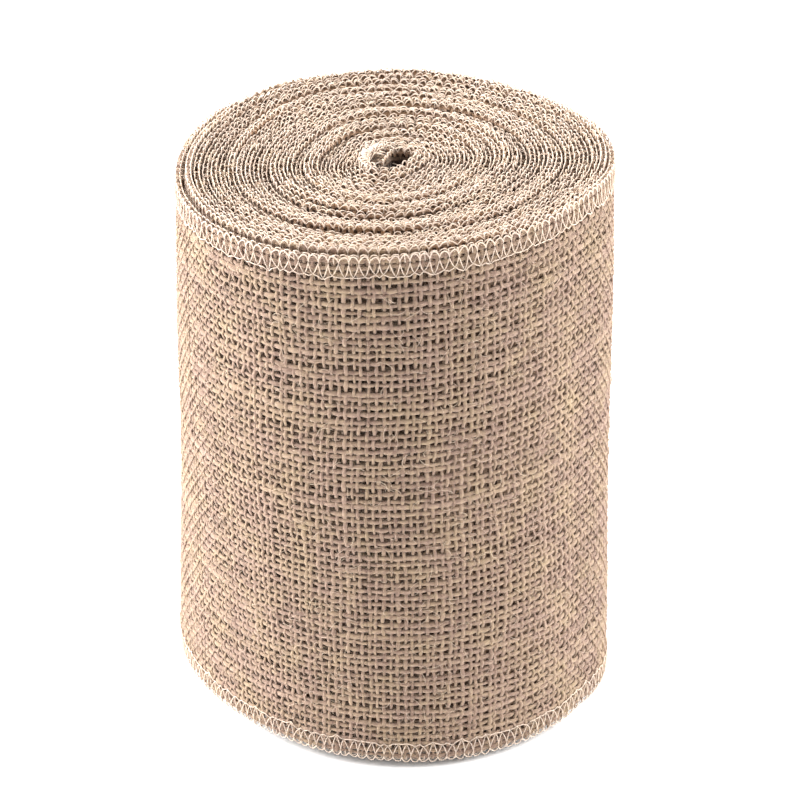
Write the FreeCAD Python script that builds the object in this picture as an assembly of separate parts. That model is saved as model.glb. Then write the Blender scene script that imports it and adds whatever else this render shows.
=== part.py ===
"""Coreless roll of burlap ribbon standing on end, both long edges overlocked.

One strip is wound clockwise from a small oval eye out to a loose tail.
Units are millimetres.  +Z is the roll's axis, up; the roll stands on Z = 0.
"""

import FreeCAD
import Part

import math
import os

# ---- driving dimensions -------------------------------------------------
ribbon_width = 152.4          # six inches, edge to edge over the stitching
cloth_thickness = 1.2         # open plain weave jute
thread_relief = 0.35          # how far the looper threads stand off each face
turn_gap = 0.36               # clear space between one turn's edge and the next
edge_height = 5.6             # how far the overlock reaches in from the edge
edge_cap = 0.7                # looper threads beyond the cut edge of the cloth
needle_height = 0.9           # the row of needle thread beside the loopers
needle_gap = 0.1              # between the needle row and the looper band
eye_half_width = 3.5          # clear half width of the eye
eye_straight = 3.0            # half length of the eye's straight sides
eye_direction = 60.0          # long axis of the eye, degrees from +X
strip_start = 200.0           # heading of the inner end, degrees
turns = 23.0 + 80.0 / 360.0   # from the inner end to the free end
body_gap = 0.3                # between stretches that move apart
split_heading = 330.0         # where one group of coils hands over to the next
core_turns = 4                # full turns of each group, from the eye outwards
inner_turns = 9
middle_turns = 4
tail_turn = 125.0             # how much of the last turn is the loose tail
tail_segments = 4

# ---- sizes that follow --------------------------------------------------
half_cloth = cloth_thickness / 2
half_edge = half_cloth + thread_relief
pitch = 2 * half_edge + turn_gap
first_radius = eye_half_width + half_edge - pitch
strip_end = strip_start + 360.0 * turns
core_end = split_heading + 360.0 * core_turns
inner_end = core_end + 360.0 * inner_turns
middle_end = inner_end + 360.0 * middle_turns
tail_start = strip_end - tail_turn
axis_u = (math.cos(math.radians(eye_direction)), math.sin(math.radians(eye_direction)))
axis_n = (axis_u[1], -axis_u[0])


def half_turn(heading):
    return int(math.floor((heading + 90.0) / 180.0))


def half_turn_radius(index):
    return first_radius + index * pitch / 2


def half_turn_centre(index):
    if index % 2 == 0:
        return (eye_straight, 0.0)
    return (-eye_straight, -pitch / 2)


def to_row(a, b):
    """From the eye's long and short axes to X and Y."""
    return FreeCAD.Vector(a * axis_u[0] + b * axis_n[0], a * axis_u[1] + b * axis_n[1], 0)


def on_strip(heading, offset, index=None):
    """The point of the strip's middle line at a heading, moved out by offset."""
    if index is None:
        index = half_turn(heading)
    centre = half_turn_centre(index)
    radius = half_turn_radius(index) + offset
    turn = math.radians(heading)
    return to_row(centre[0] + radius * math.cos(turn), centre[1] + radius * math.sin(turn))


def strip_edges(start, end, offset):
    """Arcs and straight runs of one face of the strip, from start to end."""
    edges = []
    heading = start
    index = half_turn(start)
    while heading < end - 1e-6:
        stop = min(end, index * 180.0 + 90.0)
        p0 = on_strip(heading, offset, index)
        p1 = on_strip((heading + stop) / 2, offset, index)
        p2 = on_strip(stop, offset, index)
        edges.append(Part.Arc(p0, p1, p2).toShape())
        if stop < end - 1e-6:
            edges.append(Part.LineSegment(p2, on_strip(stop, offset, index + 1)).toShape())
        heading = stop
        index += 1
    return edges


def strip_solid(start, end, inside, outside, low, high):
    """The strip between two headings, two offsets and two heights."""
    edges = strip_edges(start, end, inside)
    edges.append(Part.LineSegment(on_strip(end, inside), on_strip(end, outside)).toShape())
    edges.extend(strip_edges(start, end, outside))
    edges.append(Part.LineSegment(on_strip(start, inside), on_strip(start, outside)).toShape())
    wire = Part.Wire(Part.__sortEdges__(edges))
    face = Part.Face(wire)
    solid = face.extrude(FreeCAD.Vector(0, 0, high - low))
    solid.translate(FreeCAD.Vector(0, 0, low))
    return solid


def looper_band(start, end, low, high, cloth_low, cloth_high):
    """A channel of looper threads that wraps over the cut edge of the cloth."""
    block = strip_solid(start, end, -half_edge, half_edge, low, high)
    slot = strip_solid(start, end, -half_cloth, half_cloth, cloth_low, cloth_high)
    return block.cut(slot).Solids[0]


def stretch(name, start, end):
    """The nodes of one stretch of the ribbon."""
    cloth_low = edge_cap
    cloth_high = ribbon_width - edge_cap
    top = ribbon_width - edge_height
    needle_top = top - needle_gap
    needle_bottom = edge_height + needle_gap
    return {
        name + "_burlap": strip_solid(start, end, -half_cloth, half_cloth, cloth_low, cloth_high),
        name + "_top_loopers": looper_band(
            start, end, top, ribbon_width, cloth_low, cloth_high
        ),
        name + "_bottom_loopers": looper_band(
            start, end, 0.0, edge_height, cloth_low, cloth_high
        ),
        name + "_top_needle_thread": strip_solid(
            start, end, half_cloth, half_edge, needle_top - needle_height, needle_top
        ),
        name + "_bottom_needle_thread": strip_solid(
            start, end, half_cloth, half_edge, needle_bottom, needle_bottom + needle_height
        ),
    }


def gap_angle(heading):
    """Half the gap between two stretches, as a change of heading."""
    return math.degrees(body_gap / 2 / half_turn_radius(half_turn(heading)))


tail_marks = []
for number in range(tail_segments + 1):
    tail_marks.append(tail_start + number * tail_turn / tail_segments)

marks = [strip_start, core_end, inner_end, middle_end] + tail_marks
names = ["core", "inner", "middle", "outer"]
for number in range(tail_segments):
    names.append("tail_" + str(number + 1))

nodes = {}
for number, name in enumerate(names):
    start = marks[number]
    end = marks[number + 1]
    if number > 0:
        start += gap_angle(start)
    if number < len(names) - 1:
        end -= gap_angle(end)
    nodes.update(stretch(name, start, end))

# The roll is centred on Z: the middle of its outline comes to X = Y = 0.
outline_step = 0.25
outline_points = int(360.0 / outline_step) + 1
box = FreeCAD.BoundBox()
for number in range(outline_points):
    box.add(on_strip(strip_end - number * outline_step, half_edge))
shift = FreeCAD.Vector(-box.Center.x, -box.Center.y, 0)

os.makedirs("parts", exist_ok=True)
for name, shape in nodes.items():
    shape.translate(shift)
    shape.exportStep("parts/" + name + ".step")

# ---- a summary of what was built ----------------------------------------
length = 0.0
for edge in strip_edges(strip_start, strip_end, 0.0):
    length += edge.Length
print("strip length", round(length, 1), "mm")
print("box", round(box.XLength, 2), round(box.YLength, 2), "shift", shift)
for mark in tail_marks:
    place = on_strip(mark, half_edge) + shift
    print("tail mark", round(mark, 2), round(place.x, 3), round(place.y, 3))
for name, shape in nodes.items():
    print(name, shape.ShapeType, len(shape.Solids), shape.isValid(), round(shape.Volume, 1))
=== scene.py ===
import math

import bmesh
import bpy
import numpy as np
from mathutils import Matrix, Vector


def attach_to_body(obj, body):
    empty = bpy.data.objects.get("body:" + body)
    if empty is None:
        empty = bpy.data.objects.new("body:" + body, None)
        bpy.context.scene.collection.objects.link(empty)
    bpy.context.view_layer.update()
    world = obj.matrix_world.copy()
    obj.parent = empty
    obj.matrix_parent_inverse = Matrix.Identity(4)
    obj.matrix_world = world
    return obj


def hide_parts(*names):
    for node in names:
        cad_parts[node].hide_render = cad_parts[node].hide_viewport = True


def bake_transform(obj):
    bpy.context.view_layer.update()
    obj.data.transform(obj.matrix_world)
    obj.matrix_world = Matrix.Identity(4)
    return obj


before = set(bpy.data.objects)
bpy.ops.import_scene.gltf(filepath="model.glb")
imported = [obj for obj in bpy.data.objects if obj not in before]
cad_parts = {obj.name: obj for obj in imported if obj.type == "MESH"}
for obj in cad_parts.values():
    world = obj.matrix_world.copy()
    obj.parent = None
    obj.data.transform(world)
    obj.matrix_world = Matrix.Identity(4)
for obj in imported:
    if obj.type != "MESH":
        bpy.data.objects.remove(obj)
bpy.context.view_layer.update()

# A coreless roll of burlap ribbon, overlocked on both edges.  Lengths are in metres.
# Each piece is made flat, as the ribbon lies unrolled on a table: X along the
# ribbon from its inner end, Y across it from the lower edge, Z out of its face.
# wind() then rolls the piece up, and every piece is wound along the same path.

MM = 0.001

# ---- the ribbon, as in the frame ----------------------------------------
WIDTH = 152.4 * MM
CLOTH = 1.2 * MM
THREAD_RELIEF = 0.35 * MM
TURN_GAP = 0.36 * MM
EDGE_CAP = 0.7 * MM
EYE_HALF_WIDTH = 3.5 * MM
EYE_STRAIGHT = 3.0 * MM
EYE_DIRECTION = math.radians(60.0)
STRIP_START = 200.0
STRIP_END = STRIP_START + 360.0 * (23.0 + 80.0 / 360.0)
SPLIT_HEADING = 330.0
CORE_END = SPLIT_HEADING + 360.0 * 4
INNER_END = SPLIT_HEADING + 360.0 * 13
MIDDLE_END = SPLIT_HEADING + 360.0 * 17
TAIL_TURN = 125.0
TAIL_SEGMENTS = 4
LOOSE_TURN = 135.0            # the last of the ribbon stands a little off the roll
CENTRE_SHIFT = np.array([1.0543, 0.2825]) * MM
HALF_EDGE = CLOTH / 2 + THREAD_RELIEF
PITCH = 2 * HALF_EDGE + TURN_GAP
FIRST_RADIUS = EYE_HALF_WIDTH + HALF_EDGE - PITCH
OUTER_RADIUS = 57.8 * MM

# ---- the weave and the stitching ----------------------------------------
COLUMN = 1.92 * MM            # from one cross yarn to the next
ROW = WIDTH / 72              # from one long yarn to the next
LONG_RADIUS = 0.64 * MM       # the yarns that run along the ribbon are the fatter ones
CROSS_RADIUS = 0.46 * MM
YARN_FLATNESS = 0.6
LONG_WAVE = 0.24 * MM         # how far a yarn rises over the ones it crosses
CROSS_WAVE = 0.45 * MM
STITCH = 2.42 * MM
THREAD_RADIUS = 0.16 * MM
LINK_TURN = 35.0              # half of a stretch that steps between two coils
PEEL_REACH = 0.6              # how much of a tail segment bends, from its hinge on
WOVEN_PANELS = 6              # pieces that the seen turn is made in
FRAY = 1.6 * MM               # the longest yarn end past the cut
FRAY_KEY = 31
RUNG_CHANCE = 0.82            # a stitch shows a rung over the edge above this
EDGE_HAIRS = 0.6              # per millimetre of ribbon
FACE_HAIRS = 8                # per millimetre of ribbon
CALM_REACH = 0.8 * MM         # how far inward hairs reach beside a coil that slides
YARN_TIP = 1e-7               # a strand closes to a point at each end
YARN_TIP_STEP = 1e-6

U_AXIS = np.array([math.cos(EYE_DIRECTION), math.sin(EYE_DIRECTION)])
N_AXIS = np.array([U_AXIS[1], -U_AXIS[0]])
HASH_KEYS = (12.9898, 78.233, 37.719)
HASH_SCALE = 43758.5453
chance = np.random.default_rng(7)


# ---- the path of the ribbon ---------------------------------------------
def half_turn(heading):
    return int(math.floor((heading + 90.0) / 180.0))


def half_turn_radius(index):
    return FIRST_RADIUS + index * PITCH / 2


FIRST = half_turn(STRIP_START)
LAST = half_turn(STRIP_END)
ARC_START = np.array([max(STRIP_START, 180.0 * h - 90.0) for h in range(FIRST, LAST + 1)])
ARC_END = np.array([min(STRIP_END, 180.0 * h + 90.0) for h in range(FIRST, LAST + 1)])
RADII = np.array([half_turn_radius(h) for h in range(FIRST, LAST + 1)])
ARC_LENGTH = np.radians(ARC_END - ARC_START) * RADII
RUN_START = np.concatenate([[0.0], np.cumsum(ARC_LENGTH + 2 * EYE_STRAIGHT)])[:-1]
RIBBON = float(RUN_START[-1] + ARC_LENGTH[-1])


def length_at(heading):
    """How far along the ribbon a heading lies."""
    i = half_turn(heading) - FIRST
    return float(RUN_START[i] + math.radians(heading - ARC_START[i]) * RADII[i])


def middle_line(along):
    """The place of the ribbon's middle line and its outward normal, for an array of lengths."""
    i = np.clip(np.searchsorted(RUN_START, along, side="right") - 1, 0, len(RUN_START) - 1)
    even = (i + FIRST) % 2 == 0
    on_arc = np.minimum(along - RUN_START[i], ARC_LENGTH[i])
    on_arc = np.where(i == len(RUN_START) - 1, along - RUN_START[i], on_arc)
    past = along - RUN_START[i] - on_arc
    turn = np.radians(ARC_START[i]) + on_arc / RADII[i]
    a = np.where(even, EYE_STRAIGHT, -EYE_STRAIGHT) + RADII[i] * np.cos(turn)
    b = np.where(even, 0.0, -PITCH / 2) + RADII[i] * np.sin(turn)
    a = a - np.sin(turn) * past
    place = a[:, None] * U_AXIS + b[:, None] * N_AXIS + CENTRE_SHIFT
    normal = np.cos(turn)[:, None] * U_AXIS + np.sin(turn)[:, None] * N_AXIS
    return place, normal


# ---- how the real roll strays from the true spiral ----------------------
GROUP_RADII = np.array([0, 4, 9, 14, 24, 32, 34, 42, 44, 53, 55, 56.6, 58]) * MM
GROUP_RISE = np.array([2.6, 2.2, 1.2, 0.6, 1.0, 1.6, 0.3, 1.3, 0.2, 1.0, 1.7, 0.2, 0.0]) * MM


def uneven(stations, step, key):
    """Smooth random values from -1 to 1 along a line, one for every step and key."""
    cell = np.floor(stations / step)
    part = stations / step - cell
    part = part * part * (3 - 2 * part)

    def value(n):
        mixed = np.sin(n * HASH_KEYS[0] + key * HASH_KEYS[1]) * HASH_SCALE
        return 2 * (mixed - np.floor(mixed)) - 1

    return value(cell) * (1 - part) + value(cell + 1) * part


def harmonics(angle, mean, cos2, sin2, cos3, sin3):
    """An out-of-round shape: a mean and two- and three-lobed parts, in millimetres."""
    round_twice = cos2 * np.cos(2 * angle) + sin2 * np.sin(2 * angle)
    round_thrice = cos3 * np.cos(3 * angle) + sin3 * np.sin(3 * angle)
    return (mean + round_twice + round_thrice) * MM


LOOSE_FROM = length_at(STRIP_END - LOOSE_TURN)


def near(along, middle, reach):
    """A bell along the ribbon, one at its middle; middle and reach are in millimetres."""
    return np.exp(-(((along - middle * MM) / (reach * MM)) ** 2))


def wind(points):
    """Rolls flat points up into the roll."""
    along, across, out = points.T

    # the upper edge of the innermost turns curls over, and the inner end is folded
    lip = np.clip((across - WIDTH) / (8 * MM) + 1, 0, 1) ** 1.5
    curl = lip * near(along, 48, 7)
    fold = near(along, 3, 8) * np.clip((across - WIDTH) / (20 * MM) + 1, 0, 1) ** 0.4
    out = out + np.where(out > 0, 1.4 * MM, 0.0) * curl + np.where(out < 0, -1.9 * MM, 0.6 * MM) * fold

    # yarns wander in the face of the cloth
    sway = 0.45 * MM * np.sin(across / (23 * MM) + along / (61 * MM))
    sway = sway + 0.3 * MM * np.sin(across / (9.1 * MM) - along / (37 * MM))
    sag = 0.35 * MM * np.sin(along / (27 * MM) + 1.3) * np.sin(math.pi * across / WIDTH)
    place, normal = middle_line(along + sway * np.sin(math.pi * across / WIDTH))
    plan = place + normal * out[:, None]
    radius = np.linalg.norm(place, axis=1)
    angle = np.arctan2(place[:, 1], place[:, 0])
    share = np.clip(radius / OUTER_RADIUS, 0, 1)
    height = across / WIDTH

    # the top and the foot are out of round, each in its own way
    flare = height * harmonics(angle, 1.2, -0.9, -0.4, 1.3, -0.5)
    flare = flare + (1 - height) * harmonics(angle, 0.2, 2.2, -4.2, 0.9, 0.8)
    flare = flare + 0.55 * MM * np.clip((along - LOOSE_FROM) / (25 * MM), 0, 1)
    flare = flare + 0.25 * MM * np.sin(3.1 * height * math.pi + 2 * angle + 0.7)
    plan = plan + plan * (share * flare / np.maximum(radius, 3 * MM))[:, None]

    # the ends are not level, and the turns stand at different heights
    lift = share**2 * (1 - height) * 1.9 * MM * (1 - np.cos(angle))
    lift = lift + share**2 * height * MM * (1.9 + 1.4 * np.cos(angle))
    ripple = 0.35 * MM * np.sin(along / (83 * MM)) + 0.25 * MM * np.sin(along / (31 * MM) + 2)
    ripple = ripple + 0.6 * MM * uneven(along, 71 * MM, 1.7) + 0.35 * MM * uneven(along, 17 * MM, 4.2)
    rise = np.interp(radius, GROUP_RADII, GROUP_RISE) + ripple * (1 - share**4)
    z = across + sag + lift + np.maximum(rise, -lift) + curl * 1.2 * MM
    return np.column_stack([plan, z])


# ---- making pieces ------------------------------------------------------
def numbers(items, name, width, kind=np.float32):
    found = np.empty(len(items) * width, kind)
    items.foreach_get(name, found)
    return found.reshape(-1, width)


def finish_flat(mesh, name, material, flatness=1.0):
    """Gives a flat mesh its ribbon coordinates, winds it up and makes its object."""
    flat = numbers(mesh.vertices, "co", 3).astype(float)
    flat[:, 2] *= flatness
    kept = mesh.attributes.new("ribbon", "FLOAT_VECTOR", "POINT")
    kept.data.foreach_set("vector", (flat / MM).astype(np.float32).ravel())
    mesh.vertices.foreach_set("co", wind(flat).astype(np.float32).ravel())
    mesh.materials.clear()
    mesh.materials.append(material)
    mesh.polygons.foreach_set("use_smooth", np.ones(len(mesh.polygons), bool))
    mesh.update()
    piece = bpy.data.objects.new(name, mesh)
    bpy.context.scene.collection.objects.link(piece)
    return piece


def tubes(name, strands, material, sides=1, flatness=1.0, twist="Z_UP"):
    """One piece of many round yarns or threads; a strand is (points, radii)."""
    curve = bpy.data.curves.new(name, "CURVE")
    curve.dimensions = "3D"
    curve.bevel_depth = 1.0
    curve.bevel_resolution = sides
    curve.twist_mode = twist
    counts = []
    for points, radii in strands:
        closed = np.vstack([points[:1], points, points[-1:]])
        closed[0, 0] -= YARN_TIP_STEP
        closed[-1, 0] += YARN_TIP_STEP
        spline = curve.splines.new("POLY")
        spline.points.add(len(closed) - 1)
        spline.points.foreach_set("co", np.column_stack([closed, np.ones(len(closed))]).ravel())
        full = np.concatenate([[YARN_TIP], radii, [YARN_TIP]])
        spline.points.foreach_set("radius", full.astype(np.float32))
        counts.append(len(closed))
    holder = bpy.data.objects.new(name, curve)
    bpy.context.scene.collection.objects.link(holder)
    bpy.context.view_layer.update()
    made = holder.evaluated_get(bpy.context.evaluated_depsgraph_get())
    mesh = bpy.data.meshes.new_from_object(made)
    bpy.data.objects.remove(holder)
    bpy.data.curves.remove(curve)
    ring = 4 + 2 * sides        # corners around a tube
    owner = np.repeat(np.arange(len(counts)), np.array(counts) * ring)
    mark = mesh.attributes.new("strand", "FLOAT", "POINT")
    mark.data.foreach_set("value", owner.astype(np.float32))
    spread_map(mesh, owner, len(counts))
    return finish_flat(mesh, name, material, flatness)


def spread_map(mesh, owner, strands):
    """Lays each strand's tube out as a row of its own on the piece's map."""
    layer = mesh.uv_layers[0]
    layer.name = "OFBake"
    places = numbers(layer.uv, "vector", 2)
    corner = numbers(mesh.loops, "vertex_index", 1, np.int32)[:, 0]
    row = owner[corner]
    places[:, 0] = (row + 0.05 + 0.9 * places[:, 0]) / strands
    layer.uv.foreach_set("vector", places.ravel())


def along_yarn(start, end, step):
    """Even stations between two ends, the ends included."""
    first = math.floor(start / step) + 1
    last = math.ceil(end / step)
    inside = np.arange(first, last) * step
    inside = inside[(inside > start + 0.2 * step) & (inside < end - 0.2 * step)]
    return np.concatenate([[start], inside, [end]])


def steady(*keys):
    """A number from 0 to 1 that is always the same for the same keys."""
    mixed = math.sin(sum(k * f for k, f in zip(keys, HASH_KEYS))) * HASH_SCALE
    return mixed - math.floor(mixed)


def yarn_radii(stations, key, radius):
    """A yarn's thickness along its length: uneven spinning and now and then a slub."""
    slub = np.maximum(uneven(stations, 17 * MM, key + 0.3) - 0.5, 0) * 0.8
    swell = 0.16 * uneven(stations, 4 * MM, key) + 0.16 * uneven(stations, 1.3 * MM, key + 0.7)
    return radius * (0.84 + 0.3 * steady(key, 1) + swell + slub)


def woven_cloth(name, start, end, material):
    """The open weave of one stretch, yarn by yarn."""
    low = EDGE_CAP
    high = WIDTH - EDGE_CAP
    strands = []
    for row in range(int(WIDTH / ROW)):
        frayed = FRAY * steady(row, FRAY_KEY) if end == RIBBON else 0.0
        x = along_yarn(start, end + frayed, COLUMN / 2)
        y = (row + 0.5) * ROW + 0.28 * MM * uneven(x, 14 * MM, row) + 0.2 * MM * uneven(x, 2.7 * MM, row)
        y = np.clip(y + 0.4 * MM * (steady(row, 7) - 0.5), low + LONG_RADIUS, high - LONG_RADIUS)
        z = LONG_WAVE * np.cos(math.pi * (x / COLUMN - 0.5 + row)) / YARN_FLATNESS
        z = z * (1 + 0.3 * uneven(x, 2.9 * MM, row + 0.2))
        strands.append((np.column_stack([x, y, z]), yarn_radii(x, row, LONG_RADIUS)))
    for column in range(math.ceil(start / COLUMN - 0.5), math.ceil(end / COLUMN - 0.5)):
        y = along_yarn(low, high, ROW / 2)
        x = (column + 0.5) * COLUMN + 0.35 * MM * uneven(y, 11 * MM, column + 0.4)
        x = x + 0.2 * MM * uneven(y, 2.9 * MM, column + 0.6)
        x = np.clip(x + 0.4 * MM * (steady(column, 9) - 0.5), start, end)
        z = -CROSS_WAVE * np.cos(math.pi * (y / ROW - 0.5 + column)) / YARN_FLATNESS
        strands.append((np.column_stack([x, y, z]), yarn_radii(y, column + 200, CROSS_RADIUS)))
    return tubes(name, strands, material, flatness=YARN_FLATNESS)


def plain_cloth(name, start, end, material):
    """The closed cloth of a stretch between its neighbours, fuller under the stitches."""
    levels = np.array([0.0, 0.6, 2.0, 6.0, 40.0, 76.0, 112.0, 145.0, 149.0, 150.4, 151.0]) * MM
    columns = max(2, round((end - start) / (COLUMN / 2)))
    form = bmesh.new()
    bmesh.ops.create_grid(form, x_segments=columns, y_segments=len(levels) - 1, size=1.0)
    for vertex in form.verts:
        step = round((vertex.co.x + 1) / 2 * columns)
        level = round((vertex.co.y + 1) / 2 * (len(levels) - 1))
        vertex.co.x = start + (end - start) * step / columns
        vertex.co.y = EDGE_CAP + levels[level]
        vertex.co.z = 0.0
    bmesh.ops.recalc_face_normals(form, faces=form.faces)
    bmesh.ops.solidify(form, geom=form.faces, thickness=CLOTH)
    for vertex in form.verts:
        side = 1.0 if vertex.co.z > 0 else -1.0
        wave = math.cos(math.pi * vertex.co.x / COLUMN)
        near_edge = min(vertex.co.y - EDGE_CAP, WIDTH - EDGE_CAP - vertex.co.y)
        rough = steady(round(vertex.co.x / COLUMN * 2), 21, round(near_edge / MM * 5) + side) - 0.5
        if near_edge < 3.0 * MM:
            half = (0.66, 0.95, 0.9)[(near_edge > 0.3 * MM) + (near_edge > 1.0 * MM)]
            vertex.co.z = side * (half + 0.2 * rough) * MM + 0.12 * MM * wave
        if near_edge < 0.3 * MM:
            vertex.co.y += math.copysign((0.3 + 0.16 * wave + 0.5 * rough) * MM, vertex.co.y - WIDTH / 2)
    mesh = bpy.data.meshes.new(name)
    form.to_mesh(mesh)
    form.free()
    depth = numbers(mesh.vertices, "co", 3)
    depth[:, 2] -= (depth[:, 2].max() + depth[:, 2].min()) / 2
    mesh.vertices.foreach_set("co", depth.ravel())
    return finish_flat(mesh, name, material)


def overlock(name, start, end, top, material, full):
    """The stitches over one edge, measured from that edge.

    A shape's rows are the place in the stitch, the distance from the edge and the height
    off the cloth.  A full edge shows its loops and needle thread, a plain one its scallops."""
    strands = []
    radius = THREAD_RADIUS
    phase = 0.5 if top else 0.18
    first = math.ceil(start / STITCH - phase - 0.5)
    last = math.ceil(end / STITCH - phase - 0.5)
    deep = 1.7 if full else 1.15
    loose = 1.0 if full else 1.9
    scallop = np.array([(-0.5, deep, 0.74), (-0.46, 0.9, 0.74), (-0.24, 0.1, 0.6), (0.0, -0.1, 0.5),
                        (0.24, 0.1, 0.6), (0.46, 0.9, 0.74), (0.5, deep, 0.74)])
    legs = np.array([(-0.5, deep, 0.8), (-0.43, 2.7, 0.86), (-0.24, 4.3, 0.88), (0.0, 5.5, 0.8),
                     (0.24, 4.3, 0.88), (0.43, 2.7, 0.86), (0.5, deep, 0.8)])
    rung = np.array([(0.0, 1.8, 0.72), (0.06, 0.45, 0.62), (0.08, -0.1, 0.0),
                     (0.1, 0.45, -0.62), (0.16, 1.8, -0.72)])
    needle = np.array([(-0.5, 5.55, 0.88), (-0.12, 5.6, 0.86), (0.0, 5.6, 0.6), (0.12, 5.6, 0.86),
                       (0.5, 5.55, 0.88)])

    def row(shape, side, scale=1.0):
        points = []
        for index in range(first, last):
            lean = loose * 0.35 * (steady(index, 11, side) - 0.5)
            tall = 1.0 + 0.3 * (steady(index, 12, side) - 0.5)
            kept = shape if index == last - 1 else shape[:-1]
            free = 1 - 4 * kept[:, 0] ** 2
            x = (index + phase + 0.5 + kept[:, 0] + lean * free) * STITCH
            y = kept[:, 1] * (1 + (tall - 1) * free)
            y = y + (0.35 * loose * free if shape is scallop else 0.0) * (steady(index, 13, side) - 0.6)
            z = side * (kept[:, 2] + (loose - 1) * 0.25 * free * (steady(index, 16, side) - 0.5))
            points.append(np.column_stack([x, y * MM, z * MM]))
        line = np.vstack(points)
        return line, np.full(len(line), radius * scale)

    for side in (1, -1):
        strands.append(row(scallop, side))
        if full:
            strands.append(row(legs, side, 0.85))
    if full:
        strands.append(row(needle, 1, 0.9))
    for index in range(first, last):
        for turn in (0.5, 0.02):
            if steady(index, 14, turn) < RUNG_CHANCE:
                continue
            line = rung.copy()
            lean = 0.3 * (steady(index, 15, turn) - 0.5)
            line[:, 0] = (index + phase + 0.5 + turn + (0.6 + lean) * (rung[:, 0] - 0.08)) * STITCH
            line[:, 1:] *= MM
            strands.append((line, np.full(len(line), radius * 0.8)))
    if top and start == 0.0:
        strands += gathered_threads(radius)
    if top:
        for line, _ in strands:
            line[:, 1] = WIDTH - line[:, 1]
    return tubes(name, strands, material, sides=1 if full else 0, twist="MINIMUM")


def gathered_threads(radius):
    """The threads drawn close together where the innermost turns curl over."""
    strands = []
    shape = np.array([(5.2, 0.84), (3.6, 0.88), (1.9, 0.84), (0.5, 0.74), (-0.12, 0.0),
                      (0.6, -0.72), (2.2, -0.82)])
    for index in range(17):
        x = (40.5 + index * 0.95 + 0.4 * (steady(index, 17) - 0.5)) * MM
        drift = (steady(index, 18) - 0.5) * 0.6 * MM * np.linspace(1, -0.4, len(shape))
        line = np.column_stack([x + drift, shape * MM])
        strands.append((line, np.full(len(line), radius * 0.9)))
    for turned in (26.0, 29.5):     # two loose fibre ends that hang into the eye
        line = np.array([(turned, 1.2, -0.8), (turned + 1, 2.6, -2.2), (turned + 2.5, 1.6, -4.6)]) * MM
        strands.append((line, np.full(3, 0.06 * MM)))
    return strands


def edge_fibres(name, start, end, count, material, calm):
    """Short hairs that stand out of the upper edge and lie over its neighbours.

    Up to the length calm they stay off the turns of the next body inward."""
    strands = []
    for _ in range(count):
        x = chance.uniform(start + 2 * MM, end - 2 * MM)
        reach = chance.uniform(0.5, 1.4) * MM
        heading = chance.uniform(0, 2 * math.pi)
        points = []
        for i in range(4):
            rise = (0.35 * i if i < 3 else 0.5) * MM
            out = (i - 0.6) * reach * math.sin(heading)
            points.append((x + i * reach * math.cos(heading), WIDTH - 0.75 * MM + rise, out))
            heading += chance.normal(0, 0.5)
        points = np.array(points)
        points[:, 0] = np.clip(points[:, 0], start, end)
        if x < calm:
            points[:, 2] = np.maximum(points[:, 2], -CALM_REACH)
        strands.append((points, np.full(4, chance.uniform(0.04, 0.1) * MM)))
    return tubes(name, strands, material, sides=0, twist="MINIMUM")


def loose_fibres(name, start, end, count, material):
    """Fine jute hairs that stand off the face."""
    strands = []
    for _ in range(count):
        x = chance.uniform(start + 3 * MM, end - 3 * MM)
        y = chance.uniform(6 * MM, WIDTH - 6 * MM)
        at = np.array([x, y])
        heading = chance.uniform(0, 2 * math.pi)
        bend = chance.normal(0, 0.5)
        step = chance.uniform(0.5, 1.5) * MM
        rise = chance.uniform(0.1, 0.5) if chance.random() < 0.8 else chance.uniform(0.6, 1.8)
        points = []
        for i in range(5):
            lift = 0.62 * MM + rise * MM * math.sin(math.pi * i / 4)
            points.append((at[0], at[1], lift))
            at = at + step * np.array([math.cos(heading), math.sin(heading)])
            heading += bend
        points = np.array(points)
        points[:, 0] = np.clip(points[:, 0], start, end)
        strands.append((points, np.full(5, chance.uniform(0.03, 0.075) * MM)))
    return tubes(name, strands, material, sides=0, twist="MINIMUM")


# ---- shader groups ------------------------------------------------------
class Graph:
    """Short calls for adding and joining nodes."""

    def __init__(self, tree):
        self.tree = tree

    def node(self, kind, **settings):
        made = self.tree.nodes.new(kind)
        for key, value in settings.items():
            setattr(made, key, value)
        return made

    def join(self, source, target):
        self.tree.links.new(source, target)

    def math(self, operation, a, b=None, c=None):
        made = self.node("ShaderNodeMath", operation=operation)
        for socket, value in zip(made.inputs, (a, b, c)):
            if value is None:
                continue
            if isinstance(value, (int, float)):
                socket.default_value = value
            else:
                self.join(value, socket)
        return made.outputs[0]

    def clamp(self, value):
        made = self.node("ShaderNodeClamp")
        self.join(value, made.inputs["Value"])
        return made.outputs[0]

    def mix(self, factor, a, b):
        made = self.node("ShaderNodeMix", data_type="RGBA")
        for socket, value in ((made.inputs[0], factor), (made.inputs[6], a), (made.inputs[7], b)):
            if isinstance(value, (int, float)):
                socket.default_value = value
            elif isinstance(value, tuple):
                socket.default_value = (*value, 1.0)
            else:
                self.join(value, socket)
        return made.outputs[2]

    def noise(self, vector, scale, detail=3.0, rough=0.6):
        made = self.node("ShaderNodeTexNoise")
        made.inputs["Scale"].default_value = scale
        made.inputs["Detail"].default_value = detail
        made.inputs["Roughness"].default_value = rough
        self.join(vector, made.inputs["Vector"])
        return made.outputs["Fac"]

    def stretched(self, vector, scale):
        made = self.node("ShaderNodeMapping", vector_type="TEXTURE")
        made.inputs["Scale"].default_value = scale
        self.join(vector, made.inputs["Vector"])
        return made.outputs["Vector"]


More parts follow.
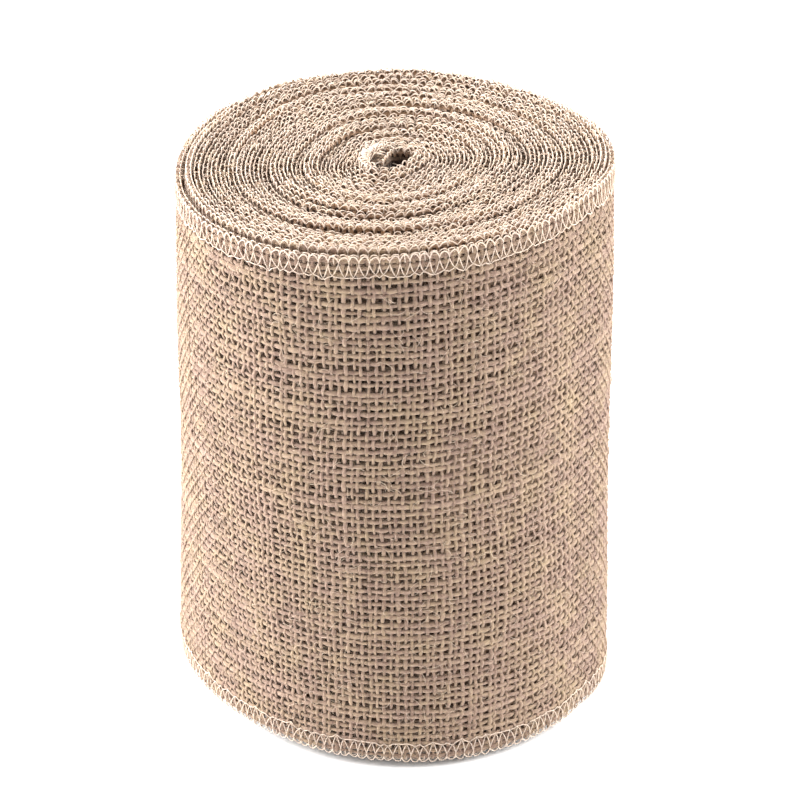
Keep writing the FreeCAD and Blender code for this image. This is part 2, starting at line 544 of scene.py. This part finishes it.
def new_group(name, inputs, outputs):
    tree = bpy.data.node_groups.new(name, "ShaderNodeTree")
    for label, kind in inputs:
        tree.interface.new_socket(label, in_out="INPUT", socket_type=kind)
    for label, kind in outputs:
        tree.interface.new_socket(label, in_out="OUTPUT", socket_type=kind)
    graph = Graph(tree)
    return tree, graph, graph.node("NodeGroupInput"), graph.node("NodeGroupOutput")


def spun_fibre_group():
    """Colour and height of spun fibres: fine hairs, uneven dye and per-strand tone."""
    tree, g, given, result = new_group(
        "spun fibre",
        [("Ribbon", "NodeSocketVector"), ("Strand", "NodeSocketFloat"),
         ("Light", "NodeSocketColor"), ("Deep", "NodeSocketColor"), ("Warm", "NodeSocketColor"),
         ("Unevenness", "NodeSocketFloat")],
        [("Color", "NodeSocketColor"), ("Height", "NodeSocketFloat")],
    )
    own = g.node("ShaderNodeTexWhiteNoise", noise_dimensions="1D")
    g.join(given.outputs["Strand"], own.inputs["W"])
    lengthwise = g.noise(g.stretched(given.outputs["Ribbon"], (1.4, 0.3, 0.3)), 1.6, 4.0, 0.75)
    crosswise = g.noise(g.stretched(given.outputs["Ribbon"], (0.3, 1.4, 0.3)), 1.9, 4.0, 0.75)
    hairs = g.math("MULTIPLY", g.math("ADD", lengthwise, crosswise), 0.5)
    patches = g.noise(given.outputs["Ribbon"], 0.09, 3.0, 0.6)
    flecks = g.noise(given.outputs["Ribbon"], 0.9, 2.0, 0.7)
    tone = g.math("MULTIPLY_ADD", g.math("SUBTRACT", own.outputs["Value"], 0.5), 0.35, 0.5)
    tone = g.math("MULTIPLY_ADD", g.math("SUBTRACT", hairs, 0.5), 2.4, tone)
    tone = g.math("MULTIPLY_ADD", g.math("SUBTRACT", flecks, 0.5), 0.9, tone)
    tone = g.math("MULTIPLY_ADD", g.math("SUBTRACT", tone, 0.5), given.outputs["Unevenness"], 0.5)
    colour = g.mix(g.clamp(tone), given.outputs["Deep"], given.outputs["Light"])
    warmth = g.math("MULTIPLY", g.math("SUBTRACT", g.math("ADD", patches, flecks), 0.85), 1.6)
    colour = g.mix(g.clamp(warmth), colour, given.outputs["Warm"])
    g.join(colour, result.inputs["Color"])
    g.join(hairs, result.inputs["Height"])
    return tree


RIDGE_NARROWNESS = 3.1
WEAVE_COVER = 1.7             # above one, the drawn yarns leave smaller gaps


def weave_group():
    """Height and openness of a plain weave drawn in ribbon coordinates."""
    tree, g, given, result = new_group(
        "plain weave",
        [("Ribbon", "NodeSocketVector")],
        [("Height", "NodeSocketFloat"), ("Open", "NodeSocketFloat")],
    )
    split = g.node("ShaderNodeSeparateXYZ")
    g.join(given.outputs["Ribbon"], split.inputs[0])
    columns = g.math("DIVIDE", split.outputs[0], COLUMN / MM)
    rows = g.math("DIVIDE", split.outputs[1], ROW / MM)

    def ridge(value):
        centred = g.math("ABSOLUTE", g.math("SUBTRACT", g.math("FRACT", value), 0.5))
        fall = g.math("POWER", g.math("MULTIPLY", centred, RIDGE_NARROWNESS), 2.0)
        return g.math("MAXIMUM", g.math("SUBTRACT", 1.0, fall), 0.0)

    def swing(value):
        return g.math("SINE", g.math("MULTIPLY", value, math.pi))

    over = g.math("MULTIPLY", swing(columns), swing(rows))
    long_yarn = g.math("MULTIPLY", ridge(rows), g.math("MULTIPLY_ADD", over, 0.4, 0.6))
    cross_yarn = g.math("MULTIPLY", ridge(columns), g.math("MULTIPLY_ADD", over, -0.4, 0.6))
    height = g.math("MAXIMUM", long_yarn, cross_yarn)
    g.join(height, result.inputs["Height"])
    closed = g.math("MAXIMUM", ridge(rows), ridge(columns))
    covered = g.math("MINIMUM", g.math("MULTIPLY", closed, WEAVE_COVER), 1.0)
    g.join(g.math("SUBTRACT", 1.0, covered), result.inputs["Open"])
    return tree


SPUN_FIBRE = spun_fibre_group()
PLAIN_WEAVE = weave_group()


# painted shade: the dark seen through the holes of the weave
GAP_SHADE_BROWN = (0.09, 0.05, 0.032)
# painted shade: the dark inside the eye of the roll
EYE_SHADE_BROWN = (0.035, 0.016, 0.01)
EYE_LENGTH = 45.0             # millimetres of ribbon around the eye that get painted shade
EYE_FADE = 5.0
EYE_LIP = 1.8                 # millimetres of upper edge left without painted shade
LIP_FADE = 2.0


def eye_shade_mask(g, ribbon):
    """Where shade inside the eye is painted: one on the innermost turn below its edge, nought elsewhere.
    """
    split = g.node("ShaderNodeSeparateXYZ")
    g.join(ribbon, split.inputs[0])
    along = g.math("MULTIPLY_ADD", split.outputs[0], -1 / EYE_FADE, EYE_LENGTH / EYE_FADE)
    depth_end = (WIDTH / MM - EYE_LIP) / LIP_FADE
    across = g.math("MULTIPLY_ADD", split.outputs[1], -1 / LIP_FADE, depth_end)
    return g.math("MULTIPLY", g.clamp(along), g.clamp(across))


def fabric(name, light, deep, warm, unevenness, bump, sheen, weave=False):
    """A matt spun material; with weave, the yarns are drawn on a plain face, with painted shade in the
    gaps between them and inside the eye.
    """
    material = bpy.data.materials.new(name)
    material.use_nodes = True
    g = Graph(material.node_tree)
    shader = material.node_tree.nodes["Principled BSDF"]
    shader.inputs["Roughness"].default_value = 0.9
    shader.inputs["Specular IOR Level"].default_value = 0.2
    shader.inputs["Sheen Weight"].default_value = sheen
    shader.inputs["Sheen Roughness"].default_value = 0.5
    shader.inputs["Sheen Tint"].default_value = (1.0, 0.93, 0.84, 1.0)
    ribbon = g.node("ShaderNodeAttribute", attribute_name="ribbon")
    strand = g.node("ShaderNodeAttribute", attribute_name="strand")
    fibre = g.node("ShaderNodeGroup", node_tree=SPUN_FIBRE)
    g.join(ribbon.outputs["Vector"], fibre.inputs["Ribbon"])
    g.join(strand.outputs["Fac"], fibre.inputs["Strand"])
    fibre.inputs["Light"].default_value = (*light, 1.0)
    fibre.inputs["Deep"].default_value = (*deep, 1.0)
    fibre.inputs["Warm"].default_value = (*warm, 1.0)
    fibre.inputs["Unevenness"].default_value = unevenness
    colour = fibre.outputs["Color"]
    height = fibre.outputs["Height"]
    if weave:
        pattern = g.node("ShaderNodeGroup", node_tree=PLAIN_WEAVE)
        g.join(ribbon.outputs["Vector"], pattern.inputs["Ribbon"])
        # painted shade in the open holes of the weave
        colour = g.mix(pattern.outputs["Open"], colour, GAP_SHADE_BROWN)
        # painted shade inside the eye, on the innermost turn below its edge
        colour = g.mix(eye_shade_mask(g, ribbon.outputs["Vector"]), colour, EYE_SHADE_BROWN)
        height = g.math("MULTIPLY_ADD", height, 0.15, pattern.outputs["Height"])
    relief = g.node("ShaderNodeBump")
    relief.inputs["Strength"].default_value = bump
    relief.inputs["Distance"].default_value = 0.5 * MM if weave else 0.3 * MM
    g.join(height, relief.inputs["Height"])
    g.join(relief.outputs["Normal"], shader.inputs["Normal"])
    g.join(colour, shader.inputs["Base Color"])
    return material


jute_yarn = fabric(
    "jute yarn", (0.43, 0.30, 0.235), (0.13, 0.074, 0.053), (0.37, 0.275, 0.165),
    unevenness=1.0, bump=1.0, sheen=0.2,
)
jute_cloth = fabric(
    "jute cloth", (0.60, 0.44, 0.33), (0.3, 0.185, 0.125), (0.5, 0.33, 0.19),
    unevenness=1.0, bump=0.9, sheen=0.2, weave=True,
)
cream_thread = fabric(
    "cream thread", (0.68, 0.565, 0.48), (0.52, 0.40, 0.325), (0.66, 0.53, 0.4),
    unevenness=0.8, bump=0.4, sheen=0.3,
)
pale_fibre = fabric(
    "pale fibre", (0.62, 0.49, 0.40), (0.3, 0.2, 0.15), (0.5, 0.41, 0.27),
    unevenness=0.8, bump=0.1, sheen=0.2,
)
edge_hair = fabric(
    "edge fibre", (0.66, 0.53, 0.43), (0.36, 0.24, 0.17), (0.6, 0.44, 0.28),
    unevenness=1.0, bump=0.1, sheen=0.2,
)


# ---- the stretches of the ribbon ----------------------------------------
TAIL_START = STRIP_END - TAIL_TURN
TAIL_STEP = TAIL_TURN / TAIL_SEGMENTS
UNDER_TAIL = TAIL_START - 360.0
WOVEN_START = UNDER_TAIL - 15.0


def link(body_a, body_b, heading):
    """Two bodies and the two points, in the frame, that the bend between them lies between."""
    ends = []
    for turn in (-LINK_TURN, LINK_TURN) if "coils" in body_b else (0.0, PEEL_REACH * TAIL_STEP):
        place, _ = middle_line(np.array([length_at(heading + turn)]))
        ends.append((float(place[0, 0]), float(place[0, 1]), WIDTH / 2))
    return (body_a, body_b, ends[0], ends[1])


def stretches():
    """Every stretch: name, start, end, woven or not, its body or its link, its CAD bodies."""
    found = []
    coils = [("core", STRIP_START, CORE_END), ("inner", CORE_END, INNER_END),
             ("middle", INNER_END, MIDDLE_END), ("outer", MIDDLE_END, WOVEN_START)]
    for number, (name, start, end) in enumerate(coils):
        body = name + "_coils"
        inset = LINK_TURN if number > 0 else 0.0
        outset = LINK_TURN if number < 3 else 0.0
        found.append((name, start + inset, end - outset, False, body, [name]))
        if number < 3:
            after = coils[number + 1][0]
            bend = link(body, after + "_coils", end)
            found.append((name + "_to_" + after, end - LINK_TURN, end + LINK_TURN, False, bend, []))
    marks = np.linspace(WOVEN_START, TAIL_START, WOVEN_PANELS + 1)
    for number in range(WOVEN_PANELS):
        name = f"outer_face_{number + 1}"
        found.append((name, marks[number], marks[number + 1], True, "outer_coils", []))
    body = "outer_coils"
    for number in range(TAIL_SEGMENTS):
        mark = TAIL_START + number * TAIL_STEP
        after = f"tail_{number + 1}"
        bend = link(body, after, mark)
        found.append((after, mark, mark + TAIL_STEP, True, bend, [after]))
        body = after
    return found


def attach(piece, hold):
    """Puts a piece on its body; a piece on a link only has its place baked into its mesh."""
    if isinstance(hold, str):
        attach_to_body(piece, hold)
    else:
        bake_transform(piece)


for name, start, end, woven, hold, nodes in stretches():
    begin = length_at(start)
    stop = length_at(end)
    make = woven_cloth if woven else plain_cloth
    cloth = make(name + "_burlap_cloth", begin, stop, jute_yarn if woven else jute_cloth)
    upper = overlock(name + "_top_stitches", begin, stop, True, cream_thread, woven)
    lower = overlock(name + "_bottom_stitches", begin, stop, False, cream_thread, woven)
    pieces = [(cloth, "burlap"), (upper, "overlock thread"), (lower, "overlock thread")]
    calm = length_at(min(end, start + 360.0)) if name != "core" else 0.0
    count = int((stop - begin) / MM * EDGE_HAIRS)
    fringe = edge_fibres(name + "_edge_fibres", begin, stop, count, edge_hair, calm)
    pieces.append((fringe, "burlap"))
    if woven:
        count = int((stop - begin) / MM * FACE_HAIRS)
        hairs = loose_fibres(name + "_fibres", begin, stop, count, pale_fibre)
        pieces.append((hairs, "burlap"))
    for piece, slot in pieces:
        attach(piece, hold)
    for node in nodes:
        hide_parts(node + "_burlap")
        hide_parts(node + "_top_loopers", node + "_top_needle_thread")
        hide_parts(node + "_bottom_loopers", node + "_bottom_needle_thread")


# ---- floor, light and camera --------------------------------------------
def plain_white(name, shade):
    material = bpy.data.materials.new(name)
    material.use_nodes = True
    shader = material.node_tree.nodes["Principled BSDF"]
    shader.inputs["Base Color"].default_value = (shade, shade, shade, 1.0)
    shader.inputs["Roughness"].default_value = 1.0
    shader.inputs["Specular IOR Level"].default_value = 0.0
    return material


def make_floor():
    form = bmesh.new()
    bmesh.ops.create_grid(form, x_segments=1, y_segments=1, size=6.0)
    mesh = bpy.data.meshes.new("floor")
    form.to_mesh(mesh)
    form.free()
    mesh.materials.append(plain_white("pale floor", 0.95))
    floor = bpy.data.objects.new("floor", mesh)
    floor.location.z = -0.0002
    bpy.context.scene.collection.objects.link(floor)


def soft_light(name, place, aim, size, power):
    lamp = bpy.data.lights.new(name, "AREA")
    lamp.shape = "SQUARE"
    lamp.size = size
    lamp.energy = power
    holder = bpy.data.objects.new(name, lamp)
    holder.location = place
    holder.rotation_euler = look_along(np.array(aim) - np.array(place))
    bpy.context.scene.collection.objects.link(holder)


def look_along(direction):
    return Vector(direction).to_track_quat("-Z", "Y").to_euler()


def make_camera():
    distance = 0.95
    elevation = math.radians(28.42)
    camera = bpy.data.cameras.new("camera")
    camera.sensor_width = 36.0
    camera.lens = 3470.1 / 800 * 36.0
    camera.shift_x = 0.0104
    camera.shift_y = 0.0164
    camera.clip_start = 0.01
    camera.clip_end = 30.0
    holder = bpy.data.objects.new("camera", camera)
    back = np.array([0.0, -math.cos(elevation), math.sin(elevation)])
    target = np.array([0.0, 0.0, WIDTH / 2 + 1.9 * MM])
    holder.location = target + distance * back
    holder.rotation_euler = look_along(-back)
    bpy.context.scene.collection.objects.link(holder)
    bpy.context.scene.camera = holder


def make_world():
    world = bpy.data.worlds.new("white room")
    world.use_nodes = True
    background = world.node_tree.nodes["Background"]
    background.inputs["Color"].default_value = (1.0, 1.0, 1.0, 1.0)
    background.inputs["Strength"].default_value = 1.0
    bpy.context.scene.world = world


bpy.context.scene.view_settings.view_transform = "Standard"
make_floor()
make_world()
soft_light("left soft box", (-0.9, 0.15, 0.45), (0, 0, 0.08), 0.7, 32.0)
soft_light("right soft box", (0.9, 0.15, 0.45), (0, 0, 0.08), 0.7, 20.0)
soft_light("top soft box", (0.0, 0.3, 1.1), (0, 0, 0.1), 0.8, 9.0)
make_camera()
